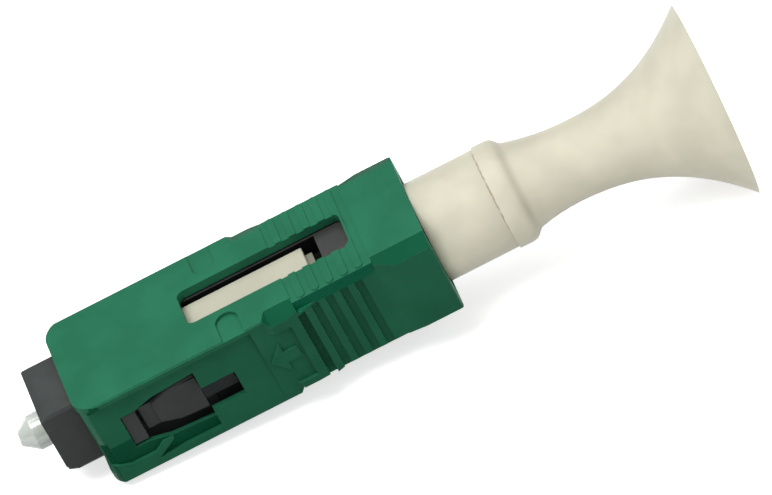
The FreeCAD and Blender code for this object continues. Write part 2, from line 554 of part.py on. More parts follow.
# ---------------------------------------------------------------- splice body and element
splice = Piece("splice_body")
splice.pad("block", "YZ", SPLICE_FRONT, SPLICE_REAR,
           box("-splice_half_width", "splice_half_width", "-splice_bottom", "splice_top"))
splice.pad("snout", "YZ", SPLICE_REAR + " - slide_gap", SPLICE_REAR + " + splice_snout_length",
           disc("splice_snout_radius"))
splice.cut("fibre_bore", "YZ", SPLICE_FRONT + " - " + PAST,
           SPLICE_REAR + " + splice_snout_length + " + PAST, disc("splice_bore_radius"))
splice.spin("funnel", [
    (SPLICE_REAR + " + splice_snout_length - funnel_length", "0"),
    (SPLICE_REAR + " + splice_snout_length - funnel_length", "splice_bore_radius"),
    (SPLICE_REAR + " + splice_snout_length", "funnel_radius"),
    (SPLICE_REAR + " + splice_snout_length", "0")], remove=True)
splice.cut("trench", "XY", "-trench_floor", "splice_top + " + PAST,
           box(TRENCH_START, TRENCH_START + " + trench_length", "-trench_half", "trench_half"))

element = Piece("splice_element")
ELEMENT_START = TRENCH_START + " + (trench_length - element_length) / 2"
ELEMENT_HALF = "trench_half - slide_gap"
element.pad("fold", "YZ", ELEMENT_START, ELEMENT_START + " + element_length", [
    ("-(%s)" % ELEMENT_HALF, "-trench_floor + bond_gap"),
    (ELEMENT_HALF, "-trench_floor + bond_gap"), (ELEMENT_HALF, "element_top"),
    ("element_split", "element_top"), ("element_split", "-element_split_floor"),
    ("-element_split", "-element_split_floor"), ("-element_split", "element_top"),
    ("-(%s)" % ELEMENT_HALF, "element_top")])

# ---------------------------------------------------------------- actuation cap
cap = Piece("actuation_cap")
CAP_UNDER = "cap_top - cap_thickness"
cap.pad("plate", "XY", CAP_UNDER, "cap_top",
        box(CAP_START, CAP_END, "-cap_half_width", "cap_half_width"))
cap.dress("plate_edges", "Fillet", "cap_edge",
          lambda edge: abs(edge.CenterOfMass.z - value("cap_top")) < 1e-3)
cap.pad("step", "XY", "splice_top + cap_travel + seat_gap", "cap_top - cap_step_drop",
        box(CAP_END + " - cap_edge", CAP_STEP_END,
            "-cap_step_half_width", "cap_step_half_width"))
cap.pad("press_rib", "XY", "splice_top - cap_rib_dip", CAP_UNDER + " + cap_edge",
        box(CAP_START + " + cap_edge", CAP_END + " - cap_edge",
            "-trench_half + slide_gap", "trench_half - slide_gap"))

# ---------------------------------------------------------------- coil spring
# A swept coil has no sketch feature here, so it is a shape that reads the sheet.
spring = doc.addObject("Part::Feature", "coil_spring")
spring.Label = "coil_spring"
spring_start = value(SPLICE_REAR + " + spring_wire_radius + seat_gap / 2")
spring_span = value(SPRING_END + " - seat_gap / 2 - spring_wire_radius") - spring_start
helix = Part.makeHelix(value("spring_pitch"), spring_span, value("spring_mean_radius"))
wire_section = Part.Wire([Part.makeCircle(
    value("spring_wire_radius"), FreeCAD.Vector(value("spring_mean_radius"), 0, 0),
    FreeCAD.Vector(0, 1, 0))])
coil = Part.Wire(helix).makePipeShell([wire_section], True, True)
coil.rotate(FreeCAD.Vector(0, 0, 0), FreeCAD.Vector(0, 1, 0), 90)
coil.translate(FreeCAD.Vector(spring_start, 0, 0))
spring.Shape = coil

# ---------------------------------------------------------------- boot sleeve
sleeve = Piece("boot_sleeve")
SLEEVE_BORE = "tail_radius + slide_gap"
sleeve.spin("tube", [
    (SLEEVE_FRONT, SLEEVE_BORE), (SLEEVE_FRONT, "sleeve_radius - sleeve_edge"),
    (SLEEVE_FRONT + " + sleeve_edge", "sleeve_radius"), (SLEEVE_REAR, "sleeve_radius"),
    (SLEEVE_REAR, SLEEVE_BORE)])

# ---------------------------------------------------------------- bell-mouth boot
# The trumpet wall is a smooth curve of revolution, so it is a shape that reads the sheet.
BELL_FRONT = SLEEVE_REAR + " + slide_gap / 2"
bell = doc.addObject("Part::Feature", "bell_boot")
bell.Label = "bell_boot"
bell_front, collar_rear = value(BELL_FRONT), value(BELL_FRONT + " + collar_length")
neck_root = collar_rear + value("neck_root_run")
neck_x = neck_root + value("neck_run")
rim_x = neck_x + value("flare_run")
neck_radius, root_radius = value("neck_radius"), value("neck_root_radius")
rim_radius, bore_radius = value("rim_radius"), value("cable_bore_radius")


def neck_at(share):
    """Return the outer wall's point at a share of the way from neck root to neck."""
    return FreeCAD.Vector(neck_root + (neck_x - neck_root) * share, 0,
                          neck_radius + (root_radius - neck_radius) * (1 - share) ** 2)


def flare_at(share, start, end):
    """Return a wall's point at a share of the way from the neck to the rim."""
    return FreeCAD.Vector(neck_x + (rim_x - neck_x) * share, 0,
                          start + (end - start) * share ** value("flare_power"))


def through(points):
    """Return a smooth edge through the points."""
    curve = Part.BSplineCurve()
    curve.interpolate(points)
    return curve.toShape()


shares = [i / 8 for i in range(9)]
outer = through([neck_at(i / 4) for i in range(4)]
                + [flare_at(s, neck_radius, rim_radius) for s in shares])
inner = through([flare_at(s, bore_radius, rim_radius - value("rim_wall"))
                 for s in reversed(shares)])
spigot_front = bell_front - value("spigot_length")
collar_edge, collar_radius = value("collar_edge"), value("sleeve_radius + collar_rise")
section = [
    FreeCAD.Vector(neck_x, 0, bore_radius), FreeCAD.Vector(spigot_front, 0, bore_radius),
    FreeCAD.Vector(spigot_front, 0, value("tail_radius")),
    FreeCAD.Vector(bell_front, 0, value("tail_radius")),
    FreeCAD.Vector(bell_front, 0, collar_radius - collar_edge / 2),
    FreeCAD.Vector(bell_front + collar_edge / 2, 0, collar_radius),
    FreeCAD.Vector(collar_rear - collar_edge, 0, collar_radius),
    FreeCAD.Vector(collar_rear, 0, collar_radius - collar_edge), neck_at(0),
]
edges = [Part.makeLine(a, b) for a, b in zip(section, section[1:])]
rim_edge = Part.makeLine(flare_at(1, neck_radius, rim_radius),
                         flare_at(1, bore_radius, rim_radius - value("rim_wall")))
profile = Part.Wire(edges + [outer, rim_edge, inner])
bell.Shape = Part.Solid(Part.Face(profile).revolve(
    FreeCAD.Vector(0, 0, 0), AXIS_X, 360).Solids[0])

# ---------------------------------------------------------------- check and write
doc.recompute()
PIECES = [grip.body, frame.body, backbone.body, ferrule.body, flange.body, fibre.body,
          splice.body, element.body, cap.body, spring, sleeve.body, bell]
for thing in doc.Objects:
    faults = {"Invalid", "Error"} & set(thing.State)
    if faults:
        raise RuntimeError("%s is %s" % (thing.Name, faults))
os.makedirs("parts", exist_ok=True)
for thing in PIECES:
    if thing.Shape.isNull() or not thing.Shape.isValid() or not thing.Shape.Solids:
        raise RuntimeError("%s has no sound solid" % thing.Label)
    thing.Shape.exportStep("parts/%s.step" % thing.Label)
    extent = thing.Shape.BoundBox
    print("%-16s solids %d volume %.3f x %.2f..%.2f y %.2f..%.2f z %.2f..%.2f" % (
        thing.Label, len(thing.Shape.Solids), thing.Shape.Volume, extent.XMin, extent.XMax,
        extent.YMin, extent.YMax, extent.ZMin, extent.ZMax))
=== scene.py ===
"""Dress the SC fibre connector: studio, camera, finishes and the pieces that CAD keeps plain."""

import logging
import math
from dataclasses import dataclass
from enum import Enum
from typing import Callable, Sequence

import bmesh
import bpy
from mathutils import Matrix, Vector


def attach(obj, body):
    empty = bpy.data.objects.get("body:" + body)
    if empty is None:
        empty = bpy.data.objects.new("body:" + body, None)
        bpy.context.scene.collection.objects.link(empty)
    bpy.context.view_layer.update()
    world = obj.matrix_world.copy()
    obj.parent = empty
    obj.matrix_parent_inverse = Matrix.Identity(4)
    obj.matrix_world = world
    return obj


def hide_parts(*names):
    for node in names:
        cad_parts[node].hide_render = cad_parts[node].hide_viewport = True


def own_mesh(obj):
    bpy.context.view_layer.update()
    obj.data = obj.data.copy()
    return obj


logging.basicConfig(level=logging.INFO, format="%(message)s")
LOG = logging.getLogger("connector")

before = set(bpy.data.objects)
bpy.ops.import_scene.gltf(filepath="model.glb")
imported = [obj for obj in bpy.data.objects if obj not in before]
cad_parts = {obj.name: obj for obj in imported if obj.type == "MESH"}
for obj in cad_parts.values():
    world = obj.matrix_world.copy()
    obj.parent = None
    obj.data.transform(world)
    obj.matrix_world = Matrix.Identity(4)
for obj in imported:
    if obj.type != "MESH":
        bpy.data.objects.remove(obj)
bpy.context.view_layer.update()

MM = 0.001
WELD = 0.0005 * MM
WHITE = (1.0, 1.0, 1.0, 1.0)

Pair = tuple[float, float]
Triple = tuple[float, float, float]
Rgba = tuple[float, float, float, float]
Material = bpy.types.Material
Piece = bpy.types.Object
Socket = bpy.types.NodeSocket
Chooser = Callable[[Vector, Vector], bool]


class Body(Enum):
    """The bodies that pieces ride on."""

    PLUG = "plug"
    GRIP = "grip"
    FERRULE_GROUP = "ferrule_group"
    CAP = "cap"


class Slot(Enum):
    """The record's material slots of the modelled pieces."""

    GRIP = "grip_plastic"
    FRAME = "frame_plastic"
    BACKBONE = "backbone_plastic"
    BOOT = "boot_plastic"
    ZIRCONIA = "zirconia"
    SPRING = "spring_steel"


@dataclass(frozen=True)
class Berth:
    """The CAD node that a piece stands for, the piece's name, its body and its slot."""

    node: str
    name: str
    body: Body
    slot: Slot

    def take(self, piece: Piece) -> None:
        """Put a piece in the node's place.

        Args:
            piece: The finished piece.
        """
        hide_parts(self.node)
        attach(piece, self.body.value)


# ---------------------------------------------------------------- node helpers
class NodeKind(Enum):
    """Shader nodes that the finishes use."""

    COORDS = "ShaderNodeTexCoord"
    MAPPING = "ShaderNodeMapping"
    NOISE = "ShaderNodeTexNoise"
    VORONOI = "ShaderNodeTexVoronoi"
    MATHS = "ShaderNodeMath"
    MIX = "ShaderNodeMix"
    BUMP = "ShaderNodeBump"
    SPLIT = "ShaderNodeSeparateXYZ"
    GROUP = "ShaderNodeGroup"
    RANGE = "ShaderNodeMapRange"
    LIGHT_PATH = "ShaderNodeLightPath"


class Maths(Enum):
    """What a Math node does with its operands."""

    ADD = "ADD"
    SUBTRACT = "SUBTRACT"
    MULTIPLY = "MULTIPLY"
    ABSOLUTE = "ABSOLUTE"
    LARGER = "MAXIMUM"
    LESS_THAN = "LESS_THAN"


class SocketKind(Enum):
    """Socket types of the shared groups."""

    NUMBER = "NodeSocketFloat"
    VECTOR = "NodeSocketVector"


class Weave:
    """A small hand for wiring one node tree."""

    MIX_SHARE, MIX_LOW, MIX_HIGH, MIX_COLOUR = 0, 6, 7, 2

    def __init__(self, tree: bpy.types.NodeTree) -> None:
        """Keep the tree that is being wired."""
        self.tree = tree

    def add(self, kind: NodeKind, **settings: object) -> bpy.types.Node:
        """Add a node.

        Args:
            kind: The node to add.
            settings: Node properties by name; inputs by socket name in an "inputs" dict.

        Returns:
            The new node.
        """
        node = self.tree.nodes.new(kind.value)
        inputs = settings.pop("inputs", {})
        for name, value in settings.items():
            setattr(node, name, value)
        for name, value in inputs.items():
            self.feed(node.inputs[name], value)
        return node

    def feed(self, socket: bpy.types.NodeSocket, value: object) -> None:
        """Set a socket to a plain value, or link it to another socket.

        Args:
            socket: The input socket.
            value: A plain value, or the output socket that feeds it.
        """
        if isinstance(value, bpy.types.NodeSocket):
            self.tree.links.new(value, socket)
        else:
            socket.default_value = value

    def maths(self, operation: Maths, first: object, second: object = 0.0) -> Socket:
        """Add a Math node.

        Args:
            operation: What the node does.
            first: First operand, a number or a socket.
            second: Second operand, a number or a socket.

        Returns:
            The result socket.
        """
        node = self.add(NodeKind.MATHS, operation=operation.value)
        self.feed(node.inputs[0], first)
        self.feed(node.inputs[1], second)
        return node.outputs[0]

    def mix(self, share: object, low: object, high: object) -> Socket:
        """Blend two colours.

        Args:
            share: Blend factor, a number or a socket.
            low: Colour at 0.
            high: Colour at 1.

        Returns:
            The colour socket.
        """
        node = self.add(NodeKind.MIX, data_type="RGBA")
        self.feed(node.inputs[self.MIX_SHARE], share)
        self.feed(node.inputs[self.MIX_LOW], low)
        self.feed(node.inputs[self.MIX_HIGH], high)
        return node.outputs[self.MIX_COLOUR]

    def span(self, value: object, low: float, high: float,
             out_low: float = 0.0, out_high: float = 1.0) -> Socket:
        """Map a value from one range to another with smooth ends.

        Args:
            value: The value to map, a number or a socket.
            low: Start of the source range.
            high: End of the source range.
            out_low: Result at the start.
            out_high: Result at the end.

        Returns:
            The mapped value's socket.
        """
        node = self.add(NodeKind.RANGE, interpolation_type="SMOOTHSTEP")
        for index, number in enumerate((value, low, high, out_low, out_high)):
            self.feed(node.inputs[index], number)
        return node.outputs[0]


def new_group(name: str, numbers: dict[str, float],
              outputs: Sequence[str]) -> tuple[Weave, bpy.types.Node, bpy.types.Node]:
    """Start a shader node group, which always has a Vector input.

    Args:
        name: The group's name.
        numbers: Name and default of each number input.
        outputs: Name of each number output.

    Returns:
        The wiring hand, the group's input node and its output node.
    """
    tree = bpy.data.node_groups.new(name, "ShaderNodeTree")
    tree.interface.new_socket("Vector", in_out="INPUT", socket_type=SocketKind.VECTOR.value)
    for label, default in numbers.items():
        socket = tree.interface.new_socket(label, in_out="INPUT",
                                           socket_type=SocketKind.NUMBER.value)
        socket.default_value = default
    for label in outputs:
        tree.interface.new_socket(label, in_out="OUTPUT", socket_type=SocketKind.NUMBER.value)
    return Weave(tree), tree.nodes.new("NodeGroupInput"), tree.nodes.new("NodeGroupOutput")


class Effects:
    """Node groups that several finishes share."""

    FINE_SHARE, WAVE_SHARE = 0.35, 0.65
    SMUDGE_SPAN = (0.48, 0.74)
    HAIR_TURN, HAIR_STRETCH = (0.3, 0.5, 0.4), (0.12, 1.0, 1.0)
    HAIR_SCALE, HAIR_SPAN = 5200.0, (0.69, 0.75)
    PATCH_SCALE, PATCH_SPAN = 420.0, (0.52, 0.62)
    SPECK_SPAN = (0.05, 0.13)

    def __init__(self) -> None:
        """Build every group once."""
        self.grain = self.build_grain()
        self.dust = self.build_dust()
        self.specks = self.build_specks()

    @classmethod
    def build_grain(cls) -> bpy.types.NodeTree:
        """Build the moulded-surface grain: fine pits over slow waviness.

        Returns:
            The group, with Height and Tone outputs.
        """
        weave, source, target = new_group(
            "moulded_grain", {"Fine": 9000.0, "Wave": 350.0}, ("Height", "Tone"))
        fine = weave.add(NodeKind.NOISE, inputs={
            "Vector": source.outputs["Vector"], "Scale": source.outputs["Fine"],
            "Detail": 3.0, "Roughness": 0.6})
        wave = weave.add(NodeKind.NOISE, inputs={
            "Vector": source.outputs["Vector"], "Scale": source.outputs["Wave"], "Detail": 2.0})
        height = weave.maths(
            Maths.ADD, weave.maths(Maths.MULTIPLY, fine.outputs[0], cls.FINE_SHARE),
            weave.maths(Maths.MULTIPLY, wave.outputs[0], cls.WAVE_SHARE))
        weave.feed(target.inputs["Height"], height)
        weave.feed(target.inputs["Tone"], wave.outputs[0])
        return weave.tree

    @classmethod
    def build_dust(cls) -> bpy.types.NodeTree:
        """Build handling marks: soft smudges and short fine scratches.

        Returns:
            The group, with Smudge and Scratch outputs.
        """
        weave, source, target = new_group(
            "handling_marks", {"Size": 260.0}, ("Smudge", "Scratch"))
        cloud = weave.add(NodeKind.NOISE, inputs={
            "Vector": source.outputs["Vector"], "Scale": source.outputs["Size"],
            "Detail": 6.0, "Roughness": 0.7})
        weave.feed(target.inputs["Smudge"], weave.span(cloud.outputs[0], *cls.SMUDGE_SPAN))
        stretched = weave.add(NodeKind.MAPPING, inputs={"Vector": source.outputs["Vector"]})
        stretched.inputs["Rotation"].default_value = cls.HAIR_TURN
        stretched.inputs["Scale"].default_value = cls.HAIR_STRETCH
        hair = weave.add(NodeKind.NOISE, inputs={
            "Vector": stretched.outputs[0], "Scale": cls.HAIR_SCALE, "Detail": 1.0})
        patch = weave.add(NodeKind.NOISE, inputs={
            "Vector": source.outputs["Vector"], "Scale": cls.PATCH_SCALE, "Detail": 1.0})
        scratch = weave.maths(Maths.MULTIPLY, weave.span(hair.outputs[0], *cls.HAIR_SPAN),
                              weave.span(patch.outputs[0], *cls.PATCH_SPAN))
        weave.feed(target.inputs["Scratch"], scratch)
        return weave.tree

    @classmethod
    def build_specks(cls) -> bpy.types.NodeTree:
        """Build sparse dark specks of dirt caught on pale plastic.

        Returns:
            The group, with a Speck output.
        """
        weave, source, target = new_group(
            "dirt_specks", {"Density": 520.0, "Share": 0.12}, ("Speck",))
        cells = weave.add(NodeKind.VORONOI, inputs={
            "Vector": source.outputs["Vector"], "Scale": source.outputs["Density"]})
        lot = weave.add(NodeKind.SPLIT, inputs={"Vector": cells.outputs["Color"]})
        chosen = weave.maths(Maths.LESS_THAN, lot.outputs[0], source.outputs["Share"])
        dot = weave.span(cells.outputs["Distance"], *cls.SPECK_SPAN, 1.0, 0.0)
        weave.feed(target.inputs["Speck"], weave.maths(Maths.MULTIPLY, dot, chosen))
        return weave.tree


@dataclass(frozen=True)
class Finish:
    """What every finish has: a name, a colour and a gloss."""

    name: str
    colour: Triple
    roughness: float

    def start(self) -> tuple[Weave, bpy.types.Node, Socket]:
        """Make an empty material.

        Returns:
            The wiring hand, the surface shader and the Object coordinate.
        """
        material = bpy.data.materials.new(self.name)
        material.use_nodes = True
        weave = Weave(material.node_tree)
        shader = material.node_tree.nodes["Principled BSDF"]
        coords = weave.add(NodeKind.COORDS)
        return weave, shader, coords.outputs["Object"]

    def rgba(self, gain: float = 1.0) -> Rgba:
        """Return the colour with a gain, as the sockets want it."""
        return (*(min(1.0, channel * gain) for channel in self.colour), 1.0)

    def build(self, effects: Effects) -> Material:
        """Build the material, which each kind of finish does in its own way."""
        raise NotImplementedError

    @staticmethod
    def let_light_in(shader: bpy.types.Node, share: float, radius: Triple,
                     depth: float) -> None:
        """Let light scatter under the surface.

        Args:
            shader: The surface shader.
            share: How much of the light goes in.
            radius: How far each colour goes, as shares of the depth.
            depth: The depth in millimetres.
        """
        shader.inputs["Subsurface Weight"].default_value = share
        shader.inputs["Subsurface Radius"].default_value = radius
        shader.inputs["Subsurface Scale"].default_value = depth * MM


@dataclass(frozen=True)
class MouldedPlastic(Finish):
    """Injection-moulded plastic with grain, tone drift and handling marks."""

    grain: float = 0.02
    drift: float = 0.12
    scratches: float = 0.25
    specks: float = 0.0
    translucent: float = 0.0
    seams: tuple[float, ...] = ()
    gloss: float = 0.2
    bleed: float = 0.6
    ior: float = 1.5
    bump: float = 0.35
    tone_span: Pair = (0.3, 0.7)
    scratch_paleness: float = 0.25
    smudge_roughness: float = 0.12
    speck_strength: float = 0.55
    speck_colour: Rgba = (0.16, 0.12, 0.09, 1.0)
    scatter: Triple = (1.0, 0.9, 0.8)
    grime_strength: float = 0.45
    grime_colour: Rgba = (0.30, 0.15, 0.10, 1.0)
    grime_reach: Pair = (0.03, 0.10)
    grime_height: Pair = (-0.5, 1.2)
    crumb_scale: float = 2200.0
    crumb_span: Pair = (0.42, 0.58)

    def add_seam_grime(self, weave: Weave, where: Socket, colour: Socket) -> Socket:
        """Lay grime along the upper half of each seam.

        Args:
            weave: The material's wiring hand.
            where: The Object coordinate.
            colour: The colour under the grime.

        Returns:
            The colour with the grime.
        """
        for seam in self.seams:
            place = weave.add(NodeKind.SPLIT, inputs={"Vector": where})
            near = weave.maths(Maths.ABSOLUTE,
                               weave.maths(Maths.SUBTRACT, place.outputs[0], seam * MM))
            band = weave.span(near, *(reach * MM for reach in self.grime_reach), 1.0, 0.0)
            upper = weave.span(place.outputs[2], *(height * MM for height in self.grime_height))
            crumbs = weave.add(NodeKind.NOISE, inputs={
                "Vector": where, "Scale": self.crumb_scale, "Detail": 2.0})
            grime = weave.maths(Maths.MULTIPLY, weave.maths(Maths.MULTIPLY, band, upper),
                                weave.span(crumbs.outputs[0], *self.crumb_span))
            colour = weave.mix(weave.maths(Maths.MULTIPLY, grime, self.grime_strength), colour,
                               self.grime_colour)
        return colour

    def build(self, effects: Effects) -> Material:
        """Build the material.

        Args:
            effects: The shared node groups.

        Returns:
            The material.
        """
        weave, shader, where = self.start()
        grain = weave.add(NodeKind.GROUP, node_tree=effects.grain, inputs={"Vector": where})
        marks = weave.add(NodeKind.GROUP, node_tree=effects.dust, inputs={"Vector": where})
        colour = weave.mix(weave.span(grain.outputs["Tone"], *self.tone_span),
                           self.rgba(1.0 - self.drift), self.rgba(1.0 + self.drift))
        scratch = weave.maths(Maths.MULTIPLY, marks.outputs["Scratch"], self.scratches)
        pale = tuple(min(1.0, self.scratch_paleness + (1.0 - self.scratch_paleness) * channel)
                     for channel in self.colour)
        colour = weave.mix(scratch, colour, (*pale, 1.0))
        smudge = weave.maths(Maths.MULTIPLY, marks.outputs["Smudge"], self.smudge_roughness)
        if self.specks:
            dirt = weave.add(NodeKind.GROUP, node_tree=effects.specks, inputs={
                "Vector": where, "Share": self.specks})
            colour = weave.mix(
                weave.maths(Maths.MULTIPLY, dirt.outputs["Speck"], self.speck_strength),
                colour, self.speck_colour)
        colour = self.add_seam_grime(weave, where, colour)
        weave.feed(shader.inputs["Base Color"], colour)
        weave.feed(shader.inputs["Roughness"], weave.maths(Maths.ADD, self.roughness, smudge))
        shader.inputs["IOR"].default_value = self.ior
        shader.inputs["Specular IOR Level"].default_value = self.gloss
        if self.translucent:
            self.let_light_in(shader, self.translucent, self.scatter, self.bleed)
        relief = weave.add(NodeKind.BUMP, inputs={
            "Strength": self.bump, "Distance": self.grain * MM,
            "Height": grain.outputs["Height"]})
        weave.feed(shader.inputs["Normal"], relief.outputs[0])
        return bpy.data.materials[self.name]


@dataclass(frozen=True)
class Zirconia(Finish):
    """Polished white ceramic with a slight translucency."""

    wave: float = 900.0
    tone_gains: Pair = (0.93, 1.05)
    tone_span: Pair = (0.2, 0.8)
    roughness_gains: Pair = (0.8, 1.3)
    ior: float = 1.9
    translucent: float = 0.5
    scatter: Triple = (0.8, 0.8, 0.8)
    bleed: float = 0.8

    def build(self, effects: Effects) -> Material:
        """Build the material.

        Args:
            effects: The shared node groups.

        Returns:
            The material.
        """
        weave, shader, where = self.start()
        grain = weave.add(NodeKind.GROUP, node_tree=effects.grain,
                          inputs={"Vector": where, "Wave": self.wave})
        tone = grain.outputs["Tone"]
        weave.feed(shader.inputs["Base Color"],
                   weave.mix(tone, *(self.rgba(gain) for gain in self.tone_gains)))
        weave.feed(shader.inputs["Roughness"],
                   weave.span(tone, *self.tone_span,
                              *(self.roughness * gain for gain in self.roughness_gains)))
        shader.inputs["IOR"].default_value = self.ior
        self.let_light_in(shader, self.translucent, self.scatter, self.bleed)
        return bpy.data.materials[self.name]


@dataclass(frozen=True)
class Metal(Finish):
    """Drawn or rolled metal."""

    smudge_gain: float = 0.8
    smudge_roughness: float = 0.2

    def build(self, effects: Effects) -> Material:
        """Build the material.

        Args:
            effects: The shared node groups.

        Returns:
            The material.
        """
        weave, shader, where = self.start()
        marks = weave.add(NodeKind.GROUP, node_tree=effects.dust, inputs={"Vector": where})
        weave.feed(shader.inputs["Base Color"],
                   weave.mix(marks.outputs["Smudge"], self.rgba(), self.rgba(self.smudge_gain)))
        weave.feed(shader.inputs["Roughness"],
                   weave.span(marks.outputs["Smudge"], 0.0, 1.0, self.roughness,
                              self.roughness + self.smudge_roughness))
        shader.inputs["Metallic"].default_value = 1.0
        return bpy.data.materials[self.name]


@dataclass(frozen=True)
class FibreGlass(Finish):
    """Clear glass of the bonded stub."""

    wave_roughness: float = 0.05
    clearness: float = 0.9
    ior: float = 1.46

    def build(self, effects: Effects) -> Material:
        """Build the material.

        Args:
            effects: The shared node groups.

        Returns:
            The material.
        """
        weave, shader, where = self.start()
        grain = weave.add(NodeKind.GROUP, node_tree=effects.grain, inputs={"Vector": where})
        weave.feed(shader.inputs["Roughness"],
                   weave.span(grain.outputs["Tone"], 0.0, 1.0, self.roughness,
                              self.roughness + self.wave_roughness))
        shader.inputs["Base Color"].default_value = self.rgba()
        shader.inputs["Transmission Weight"].default_value = self.clearness
        shader.inputs["IOR"].default_value = self.ior
        return bpy.data.materials[self.name]


GRIP_GREEN = MouldedPlastic("grip_green", (0.022, 0.170, 0.090), 0.42, grain=0.012,
                            drift=0.08, scratches=0.05, specks=0.02, gloss=0.05)
# Paler green of the rounded outer edges: partly wear, partly a painted highlight where light
# catches them.
GRIP_EDGE_WEAR_AND_HIGHLIGHT = MouldedPlastic("grip_edge_wear_and_highlight", (0.15, 0.40, 0.29), 0.45, grain=0.012,
                             drift=0.25, gloss=0.2)
# Darker, more saturated green: painted shade on the rail strips under the top edge, the flare
# slopes and the ramp recesses.
GRIP_PAINTED_SHADE = MouldedPlastic("grip_painted_shade", (0.005, 0.106, 0.050), 0.5, grain=0.006,
                             drift=0.06, scratches=0.03, gloss=0.03)
# Darker green band under the top edge between the treads and the ribs: painted shade.
GRIP_SHADED_BAND = MouldedPlastic("grip_shaded_band", (0.008, 0.160, 0.082), 0.5, grain=0.006,
                           drift=0.06, scratches=0.03, gloss=0.03)
BACKBONE_SHADE = MouldedPlastic("backbone_shade", (0.010, 0.010, 0.010), 0.6, grain=0.010,
                                scratches=0.0, gloss=0.05)
FRAME_SHADE = MouldedPlastic("frame_shade", (0.024, 0.030, 0.030), 0.5, grain=0.012,
                             scratches=0.05, gloss=0.12)
CAP_SHADE = MouldedPlastic("cap_shade", (0.27, 0.27, 0.21), 0.45, grain=0.010, scratches=0.05,
                           specks=0.05)
FRAME_BLACK = MouldedPlastic("frame_black", (0.060, 0.066, 0.065), 0.45, grain=0.015,
                             scratches=0.15, gloss=0.13)
BACKBONE_GREY = MouldedPlastic("backbone_grey", (0.055, 0.056, 0.057), 0.45, grain=0.015)
BOOT_CREAM = MouldedPlastic("boot_cream", (0.63, 0.605, 0.485), 0.42, grain=0.012, drift=0.05,
                            scratches=0.05, specks=0.045, translucent=0.3, seams=(32.52,),
                            bleed=0.8)
# Cream set darker than the boot's: painted shade of the window that the cap sits in.
CAP_SHADED_CREAM = MouldedPlastic("cap_shaded_cream", (0.55, 0.545, 0.43), 0.40, grain=0.010, drift=0.03,
                           scratches=0.08, specks=0.03, translucent=0.2)
FERRULE_WHITE = Zirconia("ferrule_zirconia", (0.70, 0.75, 0.70), 0.16)
ELEMENT_METAL = Metal("element_aluminium", (0.75, 0.75, 0.77), 0.3)
SPRING_METAL = Metal("spring_steel", (0.55, 0.55, 0.56), 0.28)
STUB_GLASS = FibreGlass("stub_glass", (0.85, 0.9, 0.95), 0.03)
FINISHES: tuple[Finish, ...] = (
    GRIP_GREEN, GRIP_EDGE_WEAR_AND_HIGHLIGHT, GRIP_PAINTED_SHADE, GRIP_SHADED_BAND, FRAME_BLACK, FRAME_SHADE, BACKBONE_GREY,
    BACKBONE_SHADE, BOOT_CREAM, CAP_SHADED_CREAM, CAP_SHADE, FERRULE_WHITE, ELEMENT_METAL,
    SPRING_METAL, STUB_GLASS)
Materials = dict[Finish, Material]


# ---------------------------------------------------------------- modelling helpers
def deselect_all() -> None:
    """Leave object mode with nothing selected."""
    if bpy.context.object and bpy.context.object.mode != "OBJECT":
        bpy.ops.object.mode_set(mode="OBJECT")
    bpy.ops.object.select_all(action="DESELECT")


def make_active(piece: Piece) -> None:
    """Select one object alone and make it active.

    Args:
        piece: The object.
    """
    deselect_all()
    piece.select_set(True)
    bpy.context.view_layer.objects.active = piece


def edit_all(piece: Piece) -> None:
    """Open a piece for editing with its whole mesh selected.

    Args:
        piece: The piece.
    """
    make_active(piece)
    bpy.ops.object.mode_set(mode="EDIT")
    bpy.ops.mesh.select_all(action="SELECT")


def settle(piece: Piece, smooth_degrees: float) -> None:
    """Put a piece's place into its mesh and smooth it up to an angle.

    Args:
        piece: The piece.
        smooth_degrees: Edges sharper than this stay sharp.
    """
    make_active(piece)
    bpy.ops.object.transform_apply(location=True, rotation=True, scale=True)
    bpy.ops.object.shade_smooth_by_angle(angle=math.radians(smooth_degrees))
    piece.select_set(False)


def dress(piece: Piece, material: Material) -> None:
    """Give every face of an object one material.

    Args:
        piece: The object.
        material: Its finish.
    """
    piece.data.materials.clear()
    piece.data.materials.append(material)
    for face in piece.data.polygons:
        face.material_index = 0


def keep_wear_and_highlight_on_ridges(piece: Piece) -> None:
    """Leave the wear and painted highlight on outer edges, and give inner corners the plain finish
    back.

    Args:
        piece: The piece, with its plain finish first and its paler edge finish, wear with a
            painted highlight, second.
    """
    shape = bmesh.new()
    shape.from_mesh(piece.data)
    for face in shape.faces:
        if face.material_index != 1:
            continue
        centre = face.calc_center_median()
        lift = sum((other.calc_center_median() - centre).dot(face.normal)
                   for edge in face.edges for other in edge.link_faces if other is not face)
        if lift >= 0:
            face.material_index = 0
    shape.to_mesh(piece.data)
    shape.free()


def refinish(piece: Piece, material: Material, chosen: Chooser) -> None:
    """Give the chosen faces of a piece a finish of their own.

    Args:
        piece: The piece.
        material: The finish of the chosen faces.
        chosen: Says yes to a face from its centre in millimetres and its normal.
    """
    piece.data.materials.append(material)
    index = len(piece.data.materials) - 1
    for face in piece.data.polygons:
        if face.material_index == 0 and chosen(face.center / MM, face.normal):
            face.material_index = index


def split_faces(piece: Piece, chosen: Chooser, point: Triple, normal: Triple) -> None:
    """Part the chosen faces along a plane.

    Args:
        piece: The piece.
        chosen: Says yes to a face from its centre in millimetres and its normal.
        point: A point of the plane, in millimetres.
        normal: The plane's normal.
    """
    make_active(piece)
    bpy.ops.object.mode_set(mode="EDIT")
    bpy.ops.mesh.select_mode(type="FACE")
    bpy.ops.mesh.select_all(action="DESELECT")
    shape = bmesh.from_edit_mesh(piece.data)
    for face in shape.faces:
        face.select_set(chosen(face.calc_center_median() / MM, face.normal))
    bmesh.update_edit_mesh(piece.data)
    bpy.ops.mesh.bisect(plane_co=Vector(point) * MM, plane_no=normal)
    bpy.ops.mesh.select_mode(type="VERT")
    bpy.ops.object.mode_set(mode="OBJECT")


